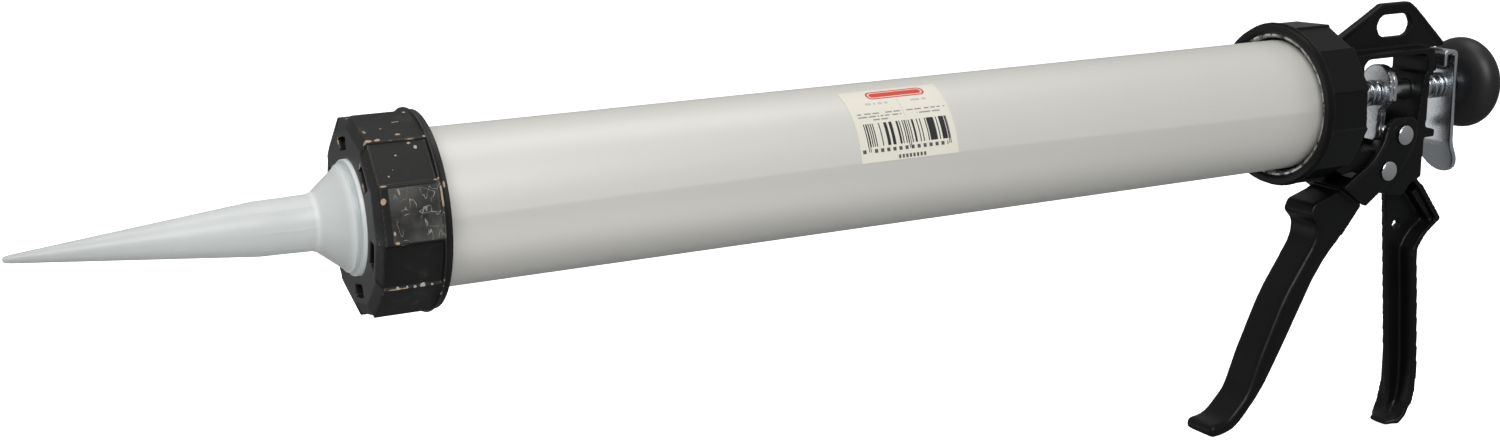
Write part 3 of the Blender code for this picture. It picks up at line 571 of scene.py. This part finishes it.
def as_cast(node, grain, rounds, cuts=(), beads=(), chosen=(), rim=None):
    """The node's solid as a casting: cut, beaded and with every corner and fillet rounded."""
    bm = bmesh.new()
    bm.from_mesh(frame["nodes"][node].data)
    bmesh.ops.remove_doubles(bm, verts=bm.verts, dist=1e-6)
    mesh = mesh_of(bm)
    helpers = []
    for cut in cuts:
        helper = bpy.data.objects.new("cutter", mesh_of(to_tool(cut)))
        bpy.context.scene.collection.objects.link(helper)
        helpers.append(helper)
    steps = [("BOOLEAN", {"operation": "DIFFERENCE", "object": helper}) for helper in helpers]
    if steps:
        mesh = applied(mesh, steps)
    for helper in helpers:
        bpy.data.objects.remove(helper, do_unlink=True)
    bm = bmesh.new()
    bm.from_mesh(mesh)
    for bead in beads:
        bm.from_mesh(mesh_of(to_tool(bead)))
    remesh = {"mode": "VOXEL", "voxel_size": grain * MM, "use_smooth_shade": True}
    mesh = applied(mesh_of(bm), [("REMESH", remesh)])
    bm = bmesh.new()
    bm.from_mesh(mesh)
    if rim:
        turn_down(bm, *rim)
    soften(bm, rounds)
    for more, where in chosen:
        soften(bm, more, where)
    mark_edges(bm, grain * MM)
    return mesh_of(bm)


def tube_along(points, radius, sides=10):
    """A closed round bead along a few points, in millimetres."""
    bm = bmesh.new()
    rings = []
    for number, point in enumerate(points):
        before, after = points[max(number - 1, 0)], points[min(number + 1, len(points) - 1)]
        heading = (Vector(after) - Vector(before)).to_track_quat("Z", "Y").to_matrix().to_4x4()
        where = Matrix.Translation(point) @ heading
        ring = bmesh.ops.create_circle(bm, segments=sides, radius=radius, matrix=where)["verts"]
        rings.append(ring)
    bm.verts.ensure_lookup_table()
    loops = [sorted({e for v in ring for e in v.link_edges}, key=lambda e: e.index)
             for ring in rings]
    for first, second in zip(loops, loops[1:]):
        bmesh.ops.bridge_loops(bm, edges=first + second)
    bmesh.ops.holes_fill(bm, edges=bm.edges, sides=sides)
    bmesh.ops.recalc_face_normals(bm, faces=bm.faces)
    return bm


# ---- barrel, cups, nozzle ------------------------------------------------------------------

def make_tube(finish):
    low, high = span("barrel_tube")
    outer = high.z
    inner = outer - TUBE_WALL
    lip = 0.5
    profile = corner(high.x - lip, outer - lip, lip, 0) + corner(low.x + lip, outer - lip, lip, 1)
    profile += corner(low.x + lip, inner + lip, lip, 2) + corner(high.x - lip, inner + lip, lip, 3)
    mesh = mesh_of(to_tool(turned(profile, 144)))
    finished("barrel", mesh, finish, "gun_body", ["barrel_tube"])


def thread_ring(name, start, side, body, finish):
    """Bright turned threads of the cup, seen in its mouth all round the tube."""
    crest, root, outside, turns = 28.3, 28.75, 29.8, 4
    pitch = side * 1.3
    profile = [(start, outside), (start, root + 0.2)]
    for k in range(turns):
        x = start + pitch * k
        profile += [(x + pitch * 0.25, root), (x + pitch * 0.5, crest),
                    (x + pitch * 0.75, crest), (x + pitch, root)]
    profile += [(profile[-1][0], outside)]
    finished(name, mesh_of(to_tool(turned(profile, 144))), finish, body, [])


def cup_mouth(rim, side):
    """Countersink at the mouth of a cup, and the room for its threads."""
    mouth_r, chamfer_r, throat_r, thread_r = 31.2, 30.8, 29.5, 29.3
    out, deep = rim - side * 1.0, rim + side * 7.0
    return turned([(out, 0.0), (out, mouth_r), (rim + side * 0.2, chamfer_r),
                   (rim + side * 1.6, throat_r), (deep, thread_r), (deep, 0.0)])


def make_cups(worn, clean, turned_metal, milk):
    """The two cups, a thin pale ring in the front one's mouth painted on as a highlight line where
    the cap meets the tube, and the rear one's threads.
    """
    grain = 0.4
    high = span("front_cap")[1]
    mesh = as_cast("front_cap", grain, 1, rim=(high.x - RIM_WIDTH, high.x + 1, RIM_R))
    finished("front_cap_casting", mesh, worn, "front_cap", ["front_cap"])
    # Thin pale ring in the glowing milky finish: a painted highlight line along the edge where the
    # cap meets the tube.
    inside, outside = 27.05, 27.25
    start, end = high.x - 1.5, high.x + 0.4
    lip = [(start, outside), (start, inside), (end, inside), (end, outside)]
    finished("painted_highlight_ring", mesh_of(to_tool(turned(lip, 144))), milk, "gun_body", [])
    low, high = span("rear_collar")
    mesh = as_cast("rear_collar", grain, 1, cuts=[cup_mouth(low.x, 1)],
                   rim=(low.x - 1, low.x + RIM_WIDTH, RIM_R))
    finished("rear_collar_casting", mesh, clean, "gun_body", ["rear_collar"])
    thread_ring("rear_thread", low.x + 1.2, 1, "gun_body", turned_metal)


def nozzle_profile():
    """Points of the moulding's bore, skin and tip, and the two ends of its ribbed neck."""
    low, high = span("nozzle")
    flange, base_r = high.z, 19.35
    flange_round = 0.4
    head = high.x - 2.5
    tip, neck_front, neck = low.x, low.x + NECK_START, low.x + NECK_END
    step = neck + 9.85
    outer = [(high.x, flange - flange_round), (high.x - flange_round, flange),
             (head + flange_round, flange), (head, flange - flange_round),
             (head, base_r + 0.5), (head - 0.5, base_r), (step + 2.3, base_r),
             (step + 1.9, base_r - 0.15), (step + 1.75, base_r - 0.5), (step + 1.75, base_r - 1.3),
             (step + 0.4, base_r - 1.4), (step + 0.2, base_r - 1.5), (step + 0.05, base_r - 2.1),
             (step - 0.5, base_r - 2.4), (neck + 0.9, 10.1), (neck + 0.3, 9.75),
             (neck - 0.3, 9.62), (neck - 0.7, 9.42), (neck - 9.0, 9.2), (neck_front + 0.8, 9.02)]
    taper_start, taper_r, taper_end_r, steps = neck_front - 0.8, 8.86, 1.36, 12
    fall = (taper_r - taper_end_r) / steps
    run = (tip + 3 - neck_front) / steps
    taper = [(taper_start + run * k, taper_r - fall * k) for k in range(steps + 1)]
    nose = [(tip + 0.9, 1.08), (tip + 0.3, 0.9), (tip, 0.5), (tip, 0.0)]
    inner = [(tip + 9.0, 0.0), (neck_front, 7.7), (neck + 0.6, 8.1), (step + 0.5, base_r - 3.1),
             (head, base_r - 3.3), (high.x, base_r - 3.3)]
    return inner + outer + taper + nose, neck_front, neck


def make_nozzle(finish):
    """The turned moulding, with low ribs raised along its neck."""
    ribs, rib_half_width, rib_height, skin_r = 8, 0.04, 0.16, 8.8
    profile, neck_front, neck = nozzle_profile()
    bm = turned(profile, 120)
    for vert in bm.verts:
        radius = (vert.co.y ** 2 + vert.co.z ** 2) ** 0.5
        share = atan2(vert.co.y, vert.co.z) * ribs / tau
        on_rib = abs(share - round(share)) < rib_half_width
        if on_rib and neck_front < vert.co.x < neck - 0.5 and radius > skin_r:
            vert.co.y *= 1 + rib_height / radius
            vert.co.z *= 1 + rib_height / radius
    mesh = mesh_of(to_tool(bm))
    finished("nozzle_moulding", mesh, finish, "nozzle", ["nozzle"], 30)


def make_label(finish):
    """Paper sheet bent round the tube, with its own flat coordinates for the print."""
    low, high = span("label")
    tube_r = span("barrel_tube")[1].z
    gap, cad_face, margin, cells = 0.06, 0.23, 0.004, 40
    start = asin(low.z / tube_r) + margin
    end = asin(high.z / (tube_r + cad_face)) - margin
    skin = tube_r + gap
    bm = bmesh.new()
    grid = bmesh.ops.create_grid(bm, x_segments=cells, y_segments=cells, size=0.5, calc_uvs=True)
    sheet = bm.loops.layers.uv.new("sheet")
    for face in bm.faces:
        for loop in face.loops:
            loop[sheet].uv = (loop.vert.co.x + 0.5, loop.vert.co.y + 0.5)
    for vert in grid["verts"]:
        u, v = vert.co.x + 0.5, vert.co.y + 0.5
        angle = start + (end - start) * v
        vert.co = (low.x + (high.x - low.x) * u, -skin * cos(angle), skin * sin(angle))
    solid = {"thickness": 0.12 * MM, "offset": 1.0, "use_even_offset": True}
    bmesh.ops.recalc_face_normals(bm, faces=bm.faces)
    if sum(face.normal.y for face in bm.faces) > 0:
        bmesh.ops.reverse_faces(bm, faces=bm.faces)
    mesh = applied(mesh_of(to_tool(bm)), [("SOLIDIFY", solid)])
    finished("sticker", mesh, finish, "gun_body", ["label"], 60)


# ---- handle and trigger --------------------------------------------------------------------

def axis_of(joint):
    """The tool-frame (x, z) of a hinge, in millimetres."""
    found = [j for j in frame["joints"] if j["name"] == joint][0]
    point = (Vector(found["pos_m"]) - ORIGIN) / MM
    return point.x, point.z


def make_handle(finish):
    """The frame, with its hook's lip on the far side only and a border round its hanger."""
    low = span("handle_frame")[0]
    toe = (90, lambda p: p.z < low.z + 4.5)
    bend = (24, lambda p: p.z < low.z + 10)
    wall = span("rod_knob")[0].x - KNOB_GAP
    near_lip = box_between((wall + 0.1, -7, 5.5), (wall + 14, -1, 16))
    far_shelf = box_between((wall - 1, -1.5, 6.6), (wall + 11.0, 9.4, 8.9))
    far_lip = box_between((wall + 9.4, -1.5, 7.5), (wall + 11.0, 9.4, 14.2))
    hanger = [(-54.0, 20.8), (-23.2, 37.2), (-7.4, 37.2), (-3.6, 34.3), (13.4, 18.6)]
    borders = [tube_along([(wall + a, side, b) for a, b in hanger], 1.1) for side in (-1, 1)]
    mesh = as_cast("handle_frame", 0.5, 2, cuts=[near_lip], beads=[far_shelf, far_lip] + borders,
                   chosen=[toe, bend])
    finished("handle_casting", mesh, finish, "gun_body", ["handle_frame"])


def make_trigger(finish):
    """The lever, with raised rims round its ears and a back rounded more towards its end."""
    x, z = axis_of("trigger_squeeze")
    face = span("trigger_lever")[1].y
    rim = [(-23.6, -4.6), (-18.2, -1.4), (-10.0, 3.4), (-7.6, 5.6), (-4.0, 10.4), (-1.0, 15.2),
           (1.0, 18.2), (4.0, 20.4), (8.0, 21.6)]
    beads = [tube_along([(x + a, side * (face - 0.3), z + b) for a, b in rim], 0.9)
             for side in (-1, 1)]
    hump = (10, lambda p: p.z < z - 7 and p.x < x - 25)
    lever = [(10, lambda p, depth=depth: p.z < z - depth and p.x < x - 20)
             for depth in (20, 25, 30, 36)]
    mesh = as_cast("trigger_lever", 0.5, 2, beads=beads, chosen=[hump] + lever)
    finished("trigger_casting", mesh, finish, "trigger", ["trigger_lever"])


def make_rivet(name, node, body, finish):
    """Domed head, short waist and shank, drawn along X and then turned to lie along Y."""
    low, high = span(node)
    x, z, crown = (low.x + high.x) / 2, (low.z + high.z) / 2, high.y
    head_r, shank_r, round_off, dome_height = 4.3, 2.5, 0.35, 1.15
    seat = crown - round_off - dome_height
    dome = [(seat + round_off + dome_height * sin(a), head_r * cos(a)) for a in
            (radians(k) for k in range(0, 90, 10))]
    side = [(seat, head_r - round_off)] + dome + [(crown, 0.0)]
    profile = [(-a, r) for a, r in reversed(side)] + [(-seat, shank_r), (seat, shank_r)] + side
    bm = along_y(turned(profile, 64), x, z)
    finished(name, mesh_of(to_tool(bm)), finish, body, [node], 30)


# ---- plates, springs, rod and knob ---------------------------------------------------------

def make_plates(finish):
    grain = 0.36
    for name, node, body in (("front_grip_plate", "drive_plate_front", "drive_plates"),
                             ("rear_grip_plate", "drive_plate_rear", "drive_plates"),
                             ("thumb_plate", "release_plate", "release")):
        finished(name, as_cast(node, grain, 2), finish, body, [node])


def make_spring(name, node, turns, finish):
    """Round wire coil whose end turns lie flat against their seats."""
    low, high = span(node)
    wire, per_turn, sides = 0.68, 40, 12
    coil_r = high.z - wire
    count = turns * per_turn
    curve = bpy.data.curves.new(name, "CURVE")
    curve.dimensions = "3D"
    curve.bevel_depth = wire * MM
    curve.bevel_resolution = sides // 2 - 2
    curve.use_fill_caps = True
    spline = curve.splines.new("POLY")
    spline.points.add(count)
    first, last = low.x + wire, high.x - wire
    closed = 0.75 / turns
    for number, point in enumerate(spline.points):
        share = number / count
        angle = tau * number / per_turn
        rise = 0.5 * wire * min(share, closed) / closed
        middle = max(0.0, min(1.0, (share - closed) / (1 - 2 * closed)))
        fall = 0.5 * wire * max(0.0, (share - 1 + closed) / closed)
        x = first + rise + (last - first - wire) * middle + fall
        place = Vector((x, coil_r * cos(angle), coil_r * sin(angle))) * MM + ORIGIN
        point.co = (*place, 1.0)
    blank = bpy.data.objects.new(name, curve)
    bpy.context.scene.collection.objects.link(blank)
    graph = bpy.context.evaluated_depsgraph_get()
    mesh = bpy.data.meshes.new_from_object(blank.evaluated_get(graph), depsgraph=graph)
    bpy.data.objects.remove(blank, do_unlink=True)
    made = finished(name, mesh, finish, "gun_body", [node])
    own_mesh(made)


def make_rod(finish):
    """Plain rod, thinner in front of a shoulder where the piston's pieces sit."""
    low, high = span("push_rod")
    shoulder, r, thin, point, chamfer = 0.0, 4.0, 2.9, 0.6, 0.4
    profile = [(low.x, 0.0), (low.x, thin - point), (low.x + point, thin), (shoulder, thin),
               (shoulder, r - chamfer), (shoulder + chamfer, r), (high.x - chamfer, r),
               (high.x, r - chamfer), (high.x, 0.0)]
    finished("rod", mesh_of(to_tool(turned(profile, 64))), finish, "rod", ["push_rod"])


def make_knob(finish):
    """Turned mushroom: a soft shoulder round the rod and a full dome behind it."""
    low, high = span("rod_knob")
    x, r, thick = low.x, high.z, high.x - low.x
    widest, socket_depth, socket_r = 0.42, 5.5, 4.3
    dome = [(x + thick * (widest + (1 - widest) * sin(a)), r * cos(a)) for a in
            (radians(k) for k in range(0, 90, 6))]
    shoulder = [(x, r * 0.60), (x + thick * 0.015, r * 0.66), (x + thick * 0.05, r * 0.76),
                (x + thick * 0.10, r * 0.86), (x + thick * 0.17, r * 0.935),
                (x + thick * 0.26, r * 0.98), (x + thick * 0.34, r * 0.996)]
    bottom = x + thick - socket_depth
    profile = [(bottom, 0.0), (bottom, socket_r), (x + 0.5, socket_r), (x, socket_r + 0.5)]
    profile += shoulder + dome + [(x + thick, 0.0)]
    mesh = mesh_of(to_tool(turned(profile)))
    finished("pull_knob", mesh, finish, "rod", ["rod_knob"], 50)


# ---- studio --------------------------------------------------------------------------------

def make_floor():
    """Pale floor just below the grip's toe; it glows evenly, so that it stays plain white."""
    reach, gap = 9.0, 0.0005
    bm = bmesh.new()
    bmesh.ops.create_grid(bm, x_segments=4, y_segments=4, size=reach)
    bmesh.ops.translate(bm, verts=bm.verts, vec=(0, 0, CAD_BOX[0].z - gap))
    floor = bpy.data.objects.new("floor", mesh_of(bm))
    bpy.context.scene.collection.objects.link(floor)
    paint = Finish("floor_paint", (0.92, 0.92, 0.92), 0.9, Specular_IOR_Level=0.1,
                   Emission_Color=(1, 1, 1, 1), Emission_Strength=1.0)
    floor.data.materials.append(paint.material)
    floor.visible_diffuse = False
    floor.visible_glossy = False
    floor.visible_transmission = False


def make_sky():
    """Even studio dome, brighter overhead than below."""
    world = bpy.data.worlds.new("studio")
    bpy.context.scene.world = world
    world.use_nodes = True
    nodes, links = world.node_tree.nodes, world.node_tree.links
    where = nodes.new("ShaderNodeTexCoord")
    split = nodes.new("ShaderNodeSeparateXYZ")
    ramp = nodes.new("ShaderNodeValToRGB")
    links.new(where.outputs["Generated"], split.inputs[0])
    shift = nodes.new("ShaderNodeMath")
    shift.operation = "MULTIPLY_ADD"
    shift.inputs[1].default_value = shift.inputs[2].default_value = 0.5
    links.new(split.outputs["Z"], shift.inputs[0])
    links.new(shift.outputs[0], ramp.inputs[0])
    ramp.color_ramp.elements[0].color = (0.19, 0.195, 0.20, 1)
    ramp.color_ramp.elements[0].position = 0.2
    ramp.color_ramp.elements[1].color = (0.36, 0.36, 0.36, 1)
    ramp.color_ramp.elements[1].position = 0.95
    links.new(ramp.outputs[0], nodes["Background"].inputs["Color"])
    nodes["Background"].inputs["Strength"].default_value = 0.9


def make_light(name, place, aim, width, height, power):
    """A soft white panel that shines on a point and isn't seen itself."""
    data = bpy.data.lights.new(name, "AREA")
    data.shape = "RECTANGLE"
    data.size, data.size_y = width, height
    data.energy = power
    light = bpy.data.objects.new(name, data)
    bpy.context.scene.collection.objects.link(light)
    light.location = place
    light.visible_camera = False
    light.rotation_mode = "QUATERNION"
    light.rotation_quaternion = (Vector(aim) - Vector(place)).to_track_quat("-Z", "Y")
    return light


def make_camera():
    """Close three-quarter view from the nozzle end, a little above the barrel."""
    yaw, pitch, roll = 0.4693, 0.2281, 0.021
    ahead = Vector((sin(yaw) * cos(pitch), cos(yaw) * cos(pitch), -sin(pitch)))
    level = Vector((cos(yaw), -sin(yaw), 0))
    down = ahead.cross(level)
    right = cos(roll) * level + sin(roll) * down
    down = cos(roll) * down - sin(roll) * level
    data = bpy.data.cameras.new("camera")
    data.lens, data.sensor_width = 44.97, 36
    data.clip_start = 0.01
    camera = bpy.data.objects.new("camera", data)
    bpy.context.scene.collection.objects.link(camera)
    turn = Matrix((right, -down, -ahead)).transposed().to_4x4()
    place = Vector((-178.1, -593.46, 135.23)) * MM + ORIGIN
    camera.matrix_world = Matrix.Translation(place) @ turn
    bpy.context.scene.camera = camera


def make_studio():
    make_floor()
    make_sky()
    make_light("key", (-0.75, -1.3, 1.2), (-0.05, 0, 0.05), 1.6, 1.0, 26)
    make_light("top", (0, 0.2, 1.7), (0, 0, 0), 2.0, 0.7, 9)
    side = make_light("side", (1.6, -0.9, 0.5), (0.15, 0, 0), 0.5, 1.2, 2)
    make_light("back", (-0.95, 0.95, -0.2), (0.27, 0, 0.05), 0.6, 0.7, 0.8)
    below = make_light("below", (-0.1, -1.0, -0.9), (0, 0, 0), 2.0, 0.8, 21)
    side.visible_glossy = below.visible_glossy = False
    make_camera()
    bpy.context.scene.view_settings.view_transform = "Standard"


def keep_nodes(zinc, plastic, rubber):
    """The hidden pieces keep their own solids and take a finish."""
    finishes = {"piston_disc": plastic, "piston_seal": rubber}
    hidden = ["collar_retainer", "retainer_screw_1", "retainer_screw_2", "retainer_screw_3",
              "piston_disc", "piston_seal", "piston_washer_front", "piston_washer_rear", "piston_nut"]
    for name in hidden:
        data = frame["nodes"][name].data
        data.materials.clear()
        data.materials.append(finishes.get(name, zinc))


def main():
    black, zinc = black_coat(), bright_zinc()
    wire = bright_zinc("wire_zinc")
    make_tube(anodised())
    milk = milky_plastic()
    make_cups(worn_coat(), black, worn_thread(), milk)
    make_nozzle(milk)
    make_label(printed_paper())
    make_handle(black)
    make_trigger(black)
    rivet = polished_steel()
    make_rivet("pivot_rivet", "trigger_pivot_rivet", "gun_body", rivet)
    make_rivet("push_rivet", "pusher_rivet", "trigger", rivet)
    make_plates(zinc)
    make_spring("return_spring", "drive_spring", 5, wire)
    make_spring("plate_spring", "release_spring", 4, wire)
    make_rod(bright_zinc("rod_zinc", (0.05, 1, 1)))
    make_knob(soft_black_plastic())
    keep_nodes(zinc, piston_plastic(), seal_rubber())
    make_studio()


main()
